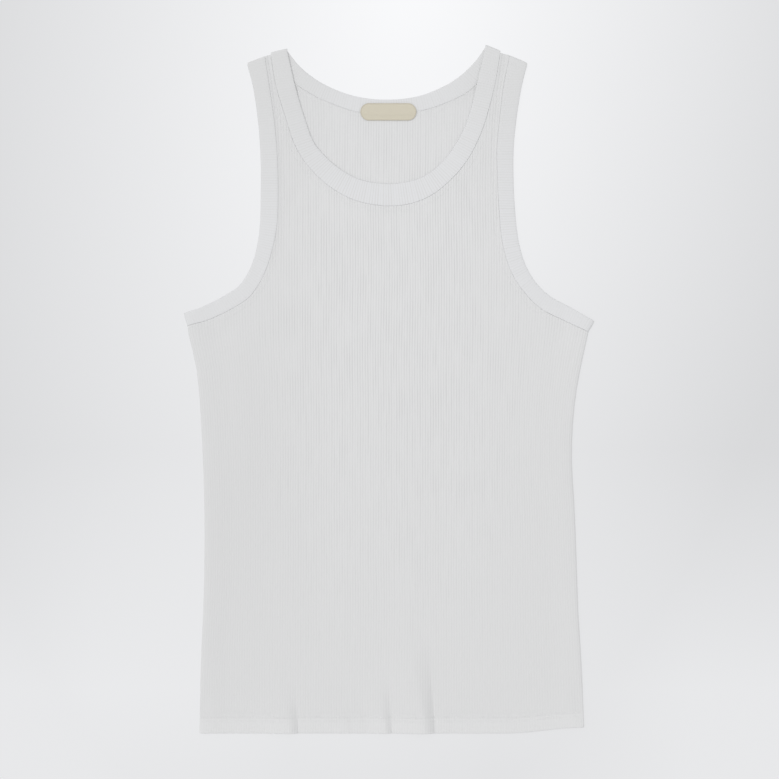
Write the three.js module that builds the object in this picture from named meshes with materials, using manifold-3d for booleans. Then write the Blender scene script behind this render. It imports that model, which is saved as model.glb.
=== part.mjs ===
// A sleeveless tank top of rib knit, laid flat on its back with its front uppermost.
// Millimetres. +X is to the viewer's right, +Y runs from the hem to the neck and +Z is up.
// The origin lies on the surface under the tank, below the middle of its box.
// In the tables, x is measured from the middle line and up is measured from the hem.

import * as THREE from "three";
import Module from "manifold-3d";

const wasm = await Module();
wasm.setup();

// Driving dimensions
const LENGTH = 689.1; // hem to the highest point of the neck band
const CLOTH = 1.0; // one layer of the knit, between two ribs
const RIB_PITCH = 2.6; // one rib and one groove
const RIB_RISE = 0.45; // how far a rib stands above its grooves
const RIBS_EACH_SIDE = 72; // whole ribs from the middle line to where the side fold begins
const ROLL_STEPS = 4; // ribs and grooves that lie on the round of each side fold
const BAND = 1.8; // a neck or armhole band, folded double
const SEAM_GAP = 0.3; // left between two pieces that are sewn together
const BAND_EDGE_START = 1.1; // where a band's free edge begins to round, in half thicknesses
const BAND_EDGE_SHOULDER = { in: 0.3, out: 0.7 }; // a point on that round, in the same measure
const HEM = 15.5; // depth of the turned hem
const SIDE_ROUND = 5.0; // how far in from the edge the side fold begins to curve
const SHOULDER_ROUND = 3.0; // the same at the shoulder folds
const SIDE_LOFT = 1.4; // the front springs up this much beside the side folds
const LOFT_REACH = 26; // and lies flat again this far from the edge
const SHOULDER_UP = 679.5; // top of the cloth between the two bands, at the shoulder
const SHOULDER_AT = 117; // how far that point lies from the middle line
const SHOULDER_SLOPE = 0.25; // fall of the shoulder towards the arm
const LABEL = { long: 56, high: 17, thick: 1.0, x: -0.7, up: 621.8 };

// Heights of the layers above the surface
const FRONT_BAND_UNDER = BAND + SEAM_GAP;
const FRONT_UNDER = FRONT_BAND_UNDER + 0.1; // the cloth enters a band just above its underside
const HEM_UNDER = 2 * CLOTH + SEAM_GAP;

// Cutting prisms reach from below the surface to well above the cloth, and past its outline.
const CUT_FLOOR = -5;
const CUT_HEIGHT = 25;
const BEYOND = 40;

const KNIT = { color: 0xdedee0, roughness: 0.92, metalness: 0 };
const BAND_KNIT = { color: 0xe2e3e4, roughness: 0.9, metalness: 0 };
const WOVEN = { color: 0xd6cfbc, roughness: 0.75, metalness: 0 };

// Where the side folds lie, from the hem to the underarm.
const SIDE_FOLDS = [
  { up: 0, left: -189.7, right: 195.2 },
  { up: 70, left: -188.2, right: 192.4 },
  { up: 120, left: -186.0, right: 189.4 },
  { up: 168, left: -184.7, right: 187.7 },
  { up: 224, left: -184.7, right: 185.6 },
  { up: 272, left: -186.4, right: 183.0 },
  { up: 312, left: -188.8, right: 184.6 },
  { up: 344, left: -191.2, right: 188.2 },
  { up: 368, left: -194.2, right: 192.4 },
  { up: 384, left: -197.7, right: 195.6 },
  { up: 401, left: -200.9, right: 199.4 },
  { up: 420, left: -203.0, right: 203.0 },
];

// The neck band in front: its seam to the body and its free edge, from shoulder to shoulder.
const NECK_FRONT = [
  { at: "shoulder fold", seamX: -118.3, seamUp: 681.3, edgeX: -101.8, edgeUp: 685.6 },
  { at: "strap", seamX: -113.9, seamUp: 650.5, edgeX: -95.2, edgeUp: 653.0 },
  { at: "strap", seamX: -104.0, seamUp: 617.0, edgeX: -86.6, edgeUp: 622.5 },
  { at: "side of neck", seamX: -92.3, seamUp: 584.5, edgeX: -75.0, edgeUp: 591.0 },
  { at: "round", seamX: -76.7, seamUp: 562.5, edgeX: -61.7, edgeUp: 575.3 },
  { at: "round", seamX: -56.7, seamUp: 545.0, edgeX: -45.8, edgeUp: 562.6 },
  { at: "round", seamX: -32.7, seamUp: 532.7, edgeX: -27.3, edgeUp: 553.6 },
  { at: "middle", seamX: 1.3, seamUp: 527.5, edgeX: 0.3, edgeUp: 549.8 },
  { at: "round", seamX: 27.3, seamUp: 531.5, edgeX: 22.5, edgeUp: 552.8 },
  { at: "round", seamX: 47.3, seamUp: 541.5, edgeX: 37.0, edgeUp: 558.6 },
  { at: "round", seamX: 67.3, seamUp: 559.5, edgeX: 53.0, edgeUp: 571.2 },
  { at: "side of neck", seamX: 79.3, seamUp: 575.0, edgeX: 63.4, edgeUp: 584.6 },
  { at: "side of neck", seamX: 91.3, seamUp: 598.5, edgeX: 75.0, edgeUp: 605.2 },
  { at: "strap", seamX: 99.9, seamUp: 624.5, edgeX: 83.0, edgeUp: 629.2 },
  { at: "strap", seamX: 106.3, seamUp: 650.5, edgeX: 88.8, edgeUp: 654.0 },
  { at: "shoulder fold", seamX: 111.3, seamUp: 683.0, edgeX: 96.4, edgeUp: 689.5 },
];

// The neck band behind, from the right shoulder fold to the left one.
const NECK_BACK = [
  NECK_FRONT.at(-1),
  { at: "under the front", seamX: 98.5, seamUp: 661.0, edgeX: 85.2, edgeUp: 671.2 },
  { at: "slope", seamX: 80.3, seamUp: 643.0, edgeX: 68.7, edgeUp: 656.1 },
  { at: "slope", seamX: 60.0, seamUp: 632.0, edgeX: 52.5, edgeUp: 646.4 },
  { at: "beside the label", seamX: 32.0, seamUp: 622.9, edgeX: 29.0, edgeUp: 637.5 },
  { at: "middle", seamX: -0.7, seamUp: 620.0, edgeX: -0.7, edgeUp: 633.2 },
  { at: "beside the label", seamX: -32.0, seamUp: 621.8, edgeX: -30.0, edgeUp: 635.9 },
  { at: "slope", seamX: -59.7, seamUp: 631.0, edgeX: -54.6, edgeUp: 643.8 },
  { at: "slope", seamX: -80.0, seamUp: 640.6, edgeX: -73.2, edgeUp: 654.3 },
  { at: "under the front", seamX: -101.5, seamUp: 656.5, edgeX: -89.8, edgeUp: 667.6 },
  NECK_FRONT[0],
];

// The armhole bands, from the shoulder fold to the underarm fold. The back lies under the front.
const ARMHOLE_LEFT_OF_VIEW = [
  { at: "shoulder fold", seamX: -123.9, seamUp: 677.6, edgeX: -141.7, edgeUp: 671.2 },
  { at: "strap", seamX: -119.7, seamUp: 647.5, edgeX: -136.0, edgeUp: 645.5 },
  { at: "strap", seamX: -113.9, seamUp: 606.5, edgeX: -130.4, edgeUp: 605.0 },
  { at: "chest", seamX: -111.3, seamUp: 566.5, edgeX: -128.3, edgeUp: 566.5 },
  { at: "chest", seamX: -110.9, seamUp: 530.5, edgeX: -128.5, edgeUp: 530.5 },
  { at: "chest", seamX: -112.1, seamUp: 507.5, edgeX: -129.2, edgeUp: 509.5 },
  { at: "round", seamX: -116.3, seamUp: 485.5, edgeX: -131.7, edgeUp: 489.5 },
  { at: "round", seamX: -124.7, seamUp: 459.9, edgeX: -137.7, edgeUp: 468.1 },
  { at: "round", seamX: -138.7, seamUp: 437.5, edgeX: -149.7, edgeUp: 448.3 },
  { at: "round", seamX: -156.7, seamUp: 425.0, edgeX: -164.9, edgeUp: 437.9 },
  { at: "underarm", seamX: -180.7, seamUp: 413.6, edgeX: -186.1, edgeUp: 426.9 },
  { at: "underarm fold", seamX: -201.7, seamUp: 407.5, edgeX: -205.9, edgeUp: 419.9 },
];
const ARMHOLE_RIGHT_OF_VIEW = [
  { at: "shoulder fold", seamX: 120.0, seamUp: 678.6, edgeX: 138.0, edgeUp: 671.2 },
  { at: "strap", seamX: 114.3, seamUp: 646.9, edgeX: 133.0, edgeUp: 648.5 },
  { at: "strap", seamX: 110.2, seamUp: 612.0, edgeX: 127.3, edgeUp: 613.5 },
  { at: "chest", seamX: 107.8, seamUp: 586.0, edgeX: 124.7, edgeUp: 586.0 },
  { at: "chest", seamX: 108.2, seamUp: 560.0, edgeX: 124.3, edgeUp: 560.0 },
  { at: "chest", seamX: 109.5, seamUp: 530.5, edgeX: 125.5, edgeUp: 530.0 },
  { at: "chest", seamX: 113.3, seamUp: 490.5, edgeX: 129.5, edgeUp: 492.8 },
  { at: "round", seamX: 121.7, seamUp: 462.5, edgeX: 136.2, edgeUp: 469.3 },
  { at: "round", seamX: 135.7, seamUp: 440.5, edgeX: 146.8, edgeUp: 451.0 },
  { at: "round", seamX: 152.3, seamUp: 424.5, edgeX: 161.2, edgeUp: 437.2 },
  { at: "underarm", seamX: 173.3, seamUp: 413.8, edgeX: 179.0, edgeUp: 427.4 },
  { at: "underarm fold", seamX: 199.3, seamUp: 401.0, edgeX: 205.9, edgeUp: 411.9 },
];

// Soft upright folds that rise from the hem of the front: where, how far up, how high, how wide.
const HEM_FOLDS = [
  { x: -95.5, long: 32, high: 1.1, wide: 7 },
  { x: -1.0, long: 85, high: 0.9, wide: 9 },
  { x: 46.0, long: 80, high: 2.0, wide: 8 },
];

// The rows of the body panels, as heights above the hem.
const HEM_STEP = 2.5;
const HEM_SLANT = { from: 118, to: 195, rise: 6 }; // the hem runs up a little at the viewer's right
const HEM_SLANT_REACH = 80;
const BODY_ROWS = [0, HEM, HEM + HEM_STEP, 80, 190, 300, 356, 388, 412, 520, 660];
const SHOULDER_ROLL_STEPS = 2;
const PLAIN_STEPS = 12; // steps from the middle line to a side fold where there are no ribs
const RIB_COLUMNS_PER_INNER = 12; // the ribbed front's inside is plain, with a column for each 12

const smooth = (t) => THREE.MathUtils.smoothstep(t, 0, 1);
const toY = (up) => up - LENGTH / 2;

// The value of one column of a table at a height, on a smooth line through its rows.
function columnAt(table, column, up) {
  const last = table.length - 1;
  const clamped = THREE.MathUtils.clamp(up, table[0].up, table[last].up);
  const next = Math.max(1, table.findIndex((row) => row.up >= clamped));
  const rows = [next - 2, next - 1, next, next + 1].map((i) => table[THREE.MathUtils.clamp(i, 0, last)]);
  const [before, low, high, after] = rows;
  const span = high.up - low.up;
  const t = (clamped - low.up) / span;
  const slopeLow = ((high[column] - before[column]) / (high.up - before.up)) * span;
  const slopeHigh = ((after[column] - low[column]) / (after.up - low.up)) * span;
  const t2 = t * t;
  const t3 = t2 * t;
  return (2 * t3 - 3 * t2 + 1) * low[column] + (t3 - 2 * t2 + t) * slopeLow
    + (3 * t2 - 2 * t3) * high[column] + (t3 - t2) * slopeHigh;
}

const sideFoldAt = (side, up) => columnAt(SIDE_FOLDS, side < 0 ? "left" : "right", up);

// How far the front springs up at a place, beside a side fold.
function loftAt(x, up) {
  const inward = Math.abs(sideFoldAt(x, up)) - Math.abs(x);
  return SIDE_LOFT * (1 - smooth((inward - SIDE_ROUND) / LOFT_REACH));
}

// How far the hem's folds raise the front at a place.
function hemFoldAt(x, up) {
  let rise = 0;
  for (const fold of HEM_FOLDS) {
    const across = (x - fold.x) / fold.wide;
    rise += fold.high * Math.exp(-across * across) * (1 - smooth(up / fold.long));
  }
  return rise;
}

// Turns points and triangles into a closed solid whose faces point out.
function closedSolid(points, triangles) {
  const corners = [new THREE.Vector3(), new THREE.Vector3(), new THREE.Vector3()];
  let volume = 0;
  for (const triangle of triangles) {
    triangle.forEach((index, i) => corners[i].copy(points[index]));
    volume += corners[0].dot(corners[1].cross(corners[2]));
  }
  const facing = volume > 0 ? triangles : triangles.map(([a, b, c]) => [a, c, b]);
  const mesh = new wasm.Mesh({
    numProp: 3,
    vertProperties: new Float32Array(points.flatMap((point) => point.toArray())),
    triVerts: new Uint32Array(facing.flat()),
  });
  return new wasm.Manifold(mesh);
}

// Joins rings of points, each to the next and the last to the first, into a closed band.
function ringOfSections(sections) {
  const count = sections[0].length;
  const points = sections.flat();
  const triangles = [];
  sections.forEach((section, i) => {
    const here = i * count;
    const there = ((i + 1) % sections.length) * count;
    for (let k = 0; k < count; k += 1) {
      const next = (k + 1) % count;
      triangles.push([here + k, there + k, there + next], [here + k, there + next, here + next]);
    }
  });
  return closedSolid(points, triangles);
}

// Joins rows of outer and inner points into a closed wall. An inner point k belongs to the
// outer point pairs[k], so the inside can be plainer than the outside.
function wallOfRows(rows, pairs) {
  const points = rows.flatMap((row) => [...row.outer, ...row.inner]);
  const outerCount = rows[0].outer.length;
  const stride = outerCount + pairs.length;
  const outer = (row, i) => row * stride + i;
  const inner = (row, k) => row * stride + outerCount + k;
  const triangles = [];
  const quad = (a, b, c, d) => triangles.push([a, b, c], [a, c, d]);
  for (let row = 0; row + 1 < rows.length; row += 1) {
    for (let i = 0; i + 1 < outerCount; i += 1) {
      quad(outer(row, i), outer(row, i + 1), outer(row + 1, i + 1), outer(row + 1, i));
    }
    for (let k = 0; k + 1 < pairs.length; k += 1) {
      quad(inner(row, k + 1), inner(row, k), inner(row + 1, k), inner(row + 1, k + 1));
    }
    const lastOuter = outerCount - 1;
    const lastInner = pairs.length - 1;
    quad(inner(row, 0), outer(row, 0), outer(row + 1, 0), inner(row + 1, 0));
    quad(outer(row, lastOuter), inner(row, lastInner), inner(row + 1, lastInner), outer(row + 1, lastOuter));
  }
  const capEnd = (row, flip) => {
    const add = (a, b, c) => triangles.push(flip ? [a, c, b] : [a, b, c]);
    for (let k = 0; k + 1 < pairs.length; k += 1) {
      for (let i = pairs[k]; i < pairs[k + 1]; i += 1) add(inner(row, k), outer(row, i + 1), outer(row, i));
      add(inner(row, k), inner(row, k + 1), outer(row, pairs[k + 1]));
    }
  };
  capEnd(0, false);
  capEnd(rows.length - 1, true);
  return closedSolid(points, triangles);
}

// An upright prism over a closed outline of [x, up] points, for cutting a panel.
function prismOver(outline) {
  const points = [];
  for (const floor of [CUT_FLOOR, CUT_FLOOR + CUT_HEIGHT]) {
    for (const [x, up] of outline) points.push(new THREE.Vector3(x, toY(up), floor));
  }
  const count = outline.length;
  const triangles = [];
  for (let i = 0; i < count; i += 1) {
    const next = (i + 1) % count;
    triangles.push([i, next, count + next], [i, count + next, count + i]);
  }
  const flat = outline.map(([x, up]) => new THREE.Vector2(x, up));
  const clockwise = THREE.ShapeUtils.isClockWise(flat);
  for (const [a, b, c] of THREE.ShapeUtils.triangulateShape(flat, [])) {
    const face = clockwise ? [a, b, c] : [a, c, b];
    triangles.push(face, [face[2] + count, face[1] + count, face[0] + count]);
  }
  return closedSolid(points, triangles);
}

// The smooth line through one pair of a table's columns, as [x, up] points.
const STEPS_PER_ROW = 3;
function tableLine(table, which) {
  const knots = table.map((row) => new THREE.Vector3(row[`${which}X`], row[`${which}Up`], 0));
  const curve = new THREE.CatmullRomCurve3(knots, false, "centripetal");
  return curve.getPoints((table.length - 1) * STEPS_PER_ROW).map((point) => [point.x, point.y]);
}

// The direction in which cloth runs round a fold: straight up at a shoulder, and square to
// the fold at an underarm.
function foldDirection(row) {
  if (row.at === "shoulder fold") return [0, 1];
  const along = new THREE.Vector2(row.edgeX - row.seamX, row.edgeUp - row.seamUp).normalize();
  return row.seamX < 0 ? [-along.y, along.x] : [along.y, -along.x];
}

const foldRound = (row) => (row.at === "shoulder fold" ? SHOULDER_ROUND : SIDE_ROUND);

// A table whose first and last rows are drawn in from the fold line to where the curve begins.
function drawnIn(table) {
  return table.map((row, i) => {
    if (i > 0 && i < table.length - 1) return row;
    const [dx, dUp] = foldDirection(row).map((part) => part * foldRound(row));
    return {
      ...row, seamX: row.seamX - dx, seamUp: row.seamUp - dUp, edgeX: row.edgeX - dx, edgeUp: row.edgeUp - dUp,
    };
  });
}

// The outline of one cross-section of a folded band: square at the seam, round at the free edge.
function bandSection(seam, edge, outward) {
  const half = BAND / 2;
  const across = edge.clone().sub(seam);
  const wide = across.length();
  across.normalize();
  const flatEnd = wide - BAND_EDGE_START * half;
  const shoulder = wide - BAND_EDGE_SHOULDER.in * half;
  const shoulderRise = BAND_EDGE_SHOULDER.out * half;
  const corners = [
    [SEAM_GAP, half], [flatEnd, half], [shoulder, shoulderRise],
    [wide, 0], [shoulder, -shoulderRise], [flatEnd, -half], [SEAM_GAP, -half],
  ];
  return corners.map(([a, b]) => seam.clone().addScaledVector(across, a).addScaledVector(outward, b));
}

// A band as a ring of sections: over the front, round a fold, back underneath, round the other.
const FOLD_STEPS = 6;
function bandRing(front, back) {
  const sections = [];
  const backMiddle = BAND / 2;
  const frontMiddle = (x, up) => FRONT_BAND_UNDER + BAND / 2 + loftAt(x, up);
  const layRun = (table, outward, middle) => {
    const seam = tableLine(drawnIn(table), "seam");
    const edge = tableLine(drawnIn(table), "edge");
    seam.forEach(([x, up], i) => {
      const seamPoint = new THREE.Vector3(x, toY(up), middle(x, up));
      const [edgeX, edgeUp] = edge[i];
      const edgePoint = new THREE.Vector3(edgeX, toY(edgeUp), middle(edgeX, edgeUp));
      sections.push(bandSection(seamPoint, edgePoint, outward));
    });
  };
  const layFold = (row, fromFront) => {
    const [dx, dUp] = foldDirection(row);
    const round = foldRound(row);
    const high = frontMiddle(row.seamX - dx * round, row.seamUp - dUp * round);
    const middle = (high + backMiddle) / 2;
    for (let step = 1; step < FOLD_STEPS; step += 1) {
      const turn = (step / FOLD_STEPS) * Math.PI;
      const rise = Math.cos(turn) * (fromFront ? 1 : -1);
      const reach = Math.sin(turn);
      const place = (x, up) => new THREE.Vector3(
        x - dx * round + dx * (round - BAND / 2) * reach,
        toY(up - dUp * round + dUp * (round - BAND / 2) * reach),
        middle + rise * (high - middle),
      );
      const outward = new THREE.Vector3(dx * reach, dUp * reach, rise);
      sections.push(bandSection(place(row.seamX, row.seamUp), place(row.edgeX, row.edgeUp), outward));
    }
  };
  layRun(front, new THREE.Vector3(0, 0, 1), frontMiddle);
  layFold(front.at(-1), true);
  layRun(back, new THREE.Vector3(0, 0, -1), () => backMiddle);
  layFold(back.at(-1), false);
  return ringOfSections(sections);
}

// The columns of a panel, from side seam to side seam. On the front they are ribs and grooves
// in turn, with a whole number of ribs on each side of the middle line.
function panelColumns(flatSteps) {
  const columns = [];
  const reach = flatSteps + ROLL_STEPS;
  for (let i = -reach; i <= reach; i += 1) {
    const over = Math.max(0, Math.abs(i) - flatSteps);
    columns.push({
      side: Math.sign(i),
      share: THREE.MathUtils.clamp(i / flatSteps, -1, 1),
      roll: (over / ROLL_STEPS) * (Math.PI / 2),
      isRib: (i + reach) % 2 === 0,
    });
  }
  return columns;
}

// Where a column lies at a height, before the side fold carries it over. The ribs in the
// middle run straight, and the outer ones follow the side folds.
function columnX(column, up) {
  const straight = (RIBS_EACH_SIDE * RIB_PITCH) * column.share;
  const flatEdge = Math.abs(sideFoldAt(column.side, up)) - SIDE_ROUND;
  const stretch = flatEdge / (RIBS_EACH_SIDE * RIB_PITCH);
  return straight * (1 + Math.abs(column.share) ** 3 * (stretch - 1));
}

const hemLineAt = (x) => HEM_SLANT.rise * smooth((x - HEM_SLANT.from) / (HEM_SLANT.to - HEM_SLANT.from));

// The rows of a panel: a height, how far the shoulder fold has turned, and the layers of cloth.
function panelRows() {
  const rows = BODY_ROWS.map((up) => ({ up, turn: 0, layers: up <= HEM ? 2 : 1 }));
  for (let step = 0; step <= SHOULDER_ROLL_STEPS; step += 1) {
    rows.push({ up: null, turn: (step / SHOULDER_ROLL_STEPS) * (Math.PI / 2), layers: 1 });
  }
  return rows;
}

// Where a row crosses a column, inset by the wall for the inner points of a shoulder fold.
function rowUp(row, x, inset) {
  if (row.up === null) {
    const top = SHOULDER_UP - SHOULDER_SLOPE * (Math.abs(x) - SHOULDER_AT);
    return top - SHOULDER_ROUND + (SHOULDER_ROUND - inset) * Math.sin(row.turn);
  }
  return row.up + hemLineAt(x) * Math.max(0, 1 - row.up / HEM_SLANT_REACH);
}

// The heights of a panel's two faces, and the height of its side and shoulder seams.
function frontFaces(x, up, row, isRib) {
  const under = (row.layers === 2 ? HEM_UNDER : FRONT_UNDER) + loftAt(x, up);
  const top = under + row.layers * CLOTH + hemFoldAt(x, up);
  return { inner: under, outer: top + (isRib ? RIB_RISE : 0) };
}

function seamHeight(row, side) {
  if (row.up === null) return (FRONT_UNDER + CLOTH) / 2;
  const under = row.layers === 2 ? HEM_UNDER : FRONT_UNDER;
  return (under + row.layers * CLOTH + (side === 0 ? 0 : SIDE_LOFT)) / 2;
}

// A body panel as rows of points. The front's outer face is uppermost and the back's is below.
function panelWall(isFront, flatSteps, innerEvery) {
  const columns = panelColumns(flatSteps);
  const last = columns.length - 1;
  const pairs = [0, ROLL_STEPS / 2];
  for (let i = ROLL_STEPS; i <= last - ROLL_STEPS; i += innerEvery) pairs.push(i);
  pairs.push(last - ROLL_STEPS / 2, last);
  const sign = isFront ? 1 : -1;
  const point = (row, column, isInner) => {
    const thick = row.layers * CLOTH;
    const inset = isInner ? thick : 0;
    const plainX = columnX(column, row.up ?? SHOULDER_UP);
    const up = rowUp(row, plainX, inset);
    const x = plainX + column.side * (SIDE_ROUND - inset) * Math.sin(column.roll);
    const faces = isFront
      ? frontFaces(x, up, row, column.isRib && !isInner)
      : { inner: thick, outer: 0 };
    const seam = seamHeight(row, column.side) + sign * (SEAM_GAP / 2);
    const face = isInner ? faces.inner : faces.outer;
    return new THREE.Vector3(x, toY(up), seam + (face - seam) * Math.cos(column.roll) * Math.cos(row.turn));
  };
  const rows = panelRows().map((row) => ({
    outer: columns.map((column) => point(row, column, false)),
    inner: pairs.map((i) => point(row, columns[i], true)),
  }));
  return wallOfRows(rows, pairs);
}

// The cutters that take the neck and the two armholes out of a panel, along its seam lines.
function neckCutter(table) {
  const seam = tableLine(drawnIn(table), "seam");
  const first = seam[0];
  const last = seam.at(-1);
  return prismOver([...seam, [last[0], LENGTH + BEYOND], [first[0], LENGTH + BEYOND]]);
}

function armholeCutter(table) {
  const seam = tableLine(drawnIn(table), "seam");
  const [dx, dUp] = foldDirection(table.at(-1));
  const under = seam.at(-1);
  const outside = [under[0] + dx * BEYOND, under[1] + dUp * BEYOND];
  return prismOver([...seam, outside, [outside[0], LENGTH + BEYOND], [seam[0][0], LENGTH + BEYOND]]);
}

// The height of the back's upper face near the label: the neck band is thicker than the panel,
// and the label bends over this much cloth to lie on both.
const LABEL_BEND = 4;
function backFaceAt(x, up) {
  const seam = tableLine(NECK_BACK, "seam");
  const near = seam.reduce((best, point) => (Math.abs(point[0] - x) < Math.abs(best[0] - x) ? point : best));
  return CLOTH + (BAND - CLOTH) * smooth((up - near[1] + LABEL_BEND) / LABEL_BEND);
}

// The label: a thin plate with round ends that follows the back's face.
const LABEL_COLUMNS = 16;
const LABEL_ROWS = 4;
const LABEL_BLUNT = 0.6; // half the height left at the very ends
const outerIndexes = (last) => Array.from({ length: last + 1 }, (_, i) => i);
function labelSolid() {
  const rounding = LABEL.high / 2;
  const rings = [];
  for (let i = 0; i <= LABEL_COLUMNS; i += 1) {
    const turn = (i / LABEL_COLUMNS) * Math.PI;
    const along = -Math.cos(turn) * (LABEL.long / 2);
    const past = Math.max(0, Math.abs(along) - (LABEL.long / 2 - rounding));
    const half = Math.max(LABEL_BLUNT, Math.sqrt(Math.max(0, rounding * rounding - past * past)));
    const x = LABEL.x + along;
    const outer = [];
    const inner = [];
    for (let k = 0; k <= LABEL_ROWS; k += 1) {
      const up = LABEL.up + half * ((2 * k) / LABEL_ROWS - 1);
      const under = backFaceAt(x, up) + SEAM_GAP;
      inner.push(new THREE.Vector3(x, toY(up), under));
      outer.push(new THREE.Vector3(x, toY(up), under + LABEL.thick));
    }
    rings.push({ outer, inner });
  }
  return wallOfRows(rings, outerIndexes(LABEL_ROWS));
}

function meshOf(name, solid, finish) {
  const { vertProperties, triVerts } = solid.getMesh();
  const geometry = new THREE.BufferGeometry();
  geometry.setAttribute("position", new THREE.BufferAttribute(new Float32Array(vertProperties), 3));
  geometry.setIndex(new THREE.BufferAttribute(new Uint32Array(triVerts), 1));
  const mesh = new THREE.Mesh(geometry, new THREE.MeshStandardMaterial(finish));
  mesh.name = name;
  return mesh;
}

function bodyPanel(isFront, neckTable, flatSteps, innerEvery) {
  return panelWall(isFront, flatSteps, innerEvery)
    .subtract(neckCutter(neckTable))
    .subtract(armholeCutter(ARMHOLE_LEFT_OF_VIEW))
    .subtract(armholeCutter(ARMHOLE_RIGHT_OF_VIEW));
}

const tank = new THREE.Group();
tank.name = "tank_top";
tank.add(meshOf("front_body", bodyPanel(true, NECK_FRONT, 2 * RIBS_EACH_SIDE, RIB_COLUMNS_PER_INNER), KNIT));
tank.add(meshOf("back_body", bodyPanel(false, NECK_BACK, PLAIN_STEPS, 1), KNIT));
tank.add(meshOf("neck_band", bandRing(NECK_FRONT, NECK_BACK), BAND_KNIT));
const armholes = [["armhole_band_right", ARMHOLE_LEFT_OF_VIEW], ["armhole_band_left", ARMHOLE_RIGHT_OF_VIEW]];
for (const [name, table] of armholes) {
  tank.add(meshOf(name, bandRing(table, table.toReversed()), BAND_KNIT));
}
tank.add(meshOf("neck_label", labelSolid(), WOVEN));

export default tank;
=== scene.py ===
import math

import bpy
import numpy as np
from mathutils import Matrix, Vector, geometry, kdtree, noise


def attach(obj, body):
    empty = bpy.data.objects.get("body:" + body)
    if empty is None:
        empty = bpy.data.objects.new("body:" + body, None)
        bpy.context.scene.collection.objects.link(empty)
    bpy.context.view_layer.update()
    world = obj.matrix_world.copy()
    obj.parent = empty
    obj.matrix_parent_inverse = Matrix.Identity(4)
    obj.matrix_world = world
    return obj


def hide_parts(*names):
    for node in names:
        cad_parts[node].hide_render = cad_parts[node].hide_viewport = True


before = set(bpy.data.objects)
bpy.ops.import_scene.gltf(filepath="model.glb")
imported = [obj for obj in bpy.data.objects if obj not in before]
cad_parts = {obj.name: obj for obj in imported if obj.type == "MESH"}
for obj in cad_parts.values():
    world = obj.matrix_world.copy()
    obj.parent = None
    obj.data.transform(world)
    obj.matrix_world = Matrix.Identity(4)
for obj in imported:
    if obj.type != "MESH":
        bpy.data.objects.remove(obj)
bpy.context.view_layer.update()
bpy.ops.object.select_all(action="DESELECT")

# The view looks straight down on the tank as it lies. It is framed so that one pixel of the square
# picture, 779 pixels wide, is one millimetre at the height of the cloth.
view_width = 0.779
view_middle = (0.0004, -0.0006)
camera_height = 2.4
framed_level = 0.0035


def add_object(name, data):
    """A new object of a mesh, a camera or a lamp."""
    made = bpy.data.objects.new(name, data)
    bpy.context.collection.objects.link(made)
    return made


camera_data = bpy.data.cameras.new("camera")
camera_data.lens = camera_data.sensor_width * (camera_height - framed_level) / view_width
camera = add_object("camera", camera_data)
camera.location = (*view_middle, camera_height)
bpy.context.scene.camera = camera
bpy.context.scene.view_settings.view_transform = "Standard"

# The light of a photographer's tent: even from all round, with one broad soft lamp to the viewer's
# left and a little beyond the neck, which gives the ribs and folds their soft shading.
tent_colour = (0.985, 0.99, 1.0, 1)
tent_strength = 0.606
lamp_from = Vector((-0.27, 0.12, 0.80))
lamp_angle = math.radians(60)
lamp_strength = 1.1
world = bpy.data.worlds.new("tent")
world.use_nodes = True
tent = world.node_tree.nodes["Background"].inputs
tent["Color"].default_value = tent_colour
tent["Strength"].default_value = tent_strength
bpy.context.scene.world = world
lamp_data = bpy.data.lights.new("softbox", "SUN")
lamp_data.angle = lamp_angle
lamp_data.energy = lamp_strength
lamp = add_object("softbox", lamp_data)
lamp.rotation_euler = lamp_from.to_track_quat("Z", "Y").to_euler()

# The floor is a plain pale sweep of paper under the tank. Most of its brightness is painted light:
# it glows, so that it hardly takes a shadow. A painted pool of light makes it brightest beyond the
# neck, and painted light brightens it again below the hem, less below the middle, a painted shadow.
floor_size = 8.0
floor_drop = 0.0002
# The painted pool of light on the paper: its middle, its lean, its reach each way and its strength.
bright_middle = (-0.024, 0.45)
bright_lean = 0.12  # the bright patch leans to the viewer's right as it goes up
bright_reach = (0.47, 0.92)
bright_rise = 0.275
paper_level = 0.708
paper_tint = (0.985, 0.99, 1.005)
# The paper glows, which is painted light, and so it hardly takes a shadow.
paper_glow = 0.885
paper_share = 0.12  # the share of the paper's brightness that is light falling on it
# Painted light below the hem, weaker below its middle as a painted shadow of the tank.
foot_rise = 0.113
foot_up = (-0.30, -0.06)  # the brightness below the hem fades out from the one to the other
foot_aside = (0.10, 0.30, 0.55, 1.0)  # between these places its share grows from 0.55 to 1


def new_material(name, finish):
    """A material, its node tree and its shader, with these of the shader's sockets set."""
    material = bpy.data.materials.new(name)
    material.use_nodes = True
    shader = material.node_tree.nodes["Principled BSDF"]
    for socket, value in finish.items():
        shader.inputs[socket].default_value = value
    return material, material.node_tree, shader


def add_node(tree, kind, sockets, **settings):
    """A node with its settings. Each of its sockets takes a value or another node's output."""
    node = tree.nodes.new("ShaderNode" + kind)
    for name, value in settings.items():
        setattr(node, name, value)
    for name, value in sockets.items():
        if isinstance(value, bpy.types.NodeSocket):
            tree.links.new(value, node.inputs[name])
        else:
            node.inputs[name].default_value = value
    return node


def calc(tree, operation, *values):
    """The output of a math node. Its inputs are sockets or numbers."""
    return add_node(tree, "Math", dict(enumerate(values)), operation=operation).outputs[0]


def product(tree, value, *factors):
    for factor in factors:
        value = calc(tree, "MULTIPLY", value, factor)
    return value


def map_range(tree, value, low, high, to_low, to_high):
    """A value that follows another between two limits and stays level beyond them."""
    limits = {"From Min": low, "From Max": high, "To Min": to_low, "To Max": to_high}
    return add_node(tree, "MapRange", {"Value": value, **limits}).outputs["Result"]


def object_place(tree):
    return add_node(tree, "TexCoord", {}).outputs["Object"]


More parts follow.
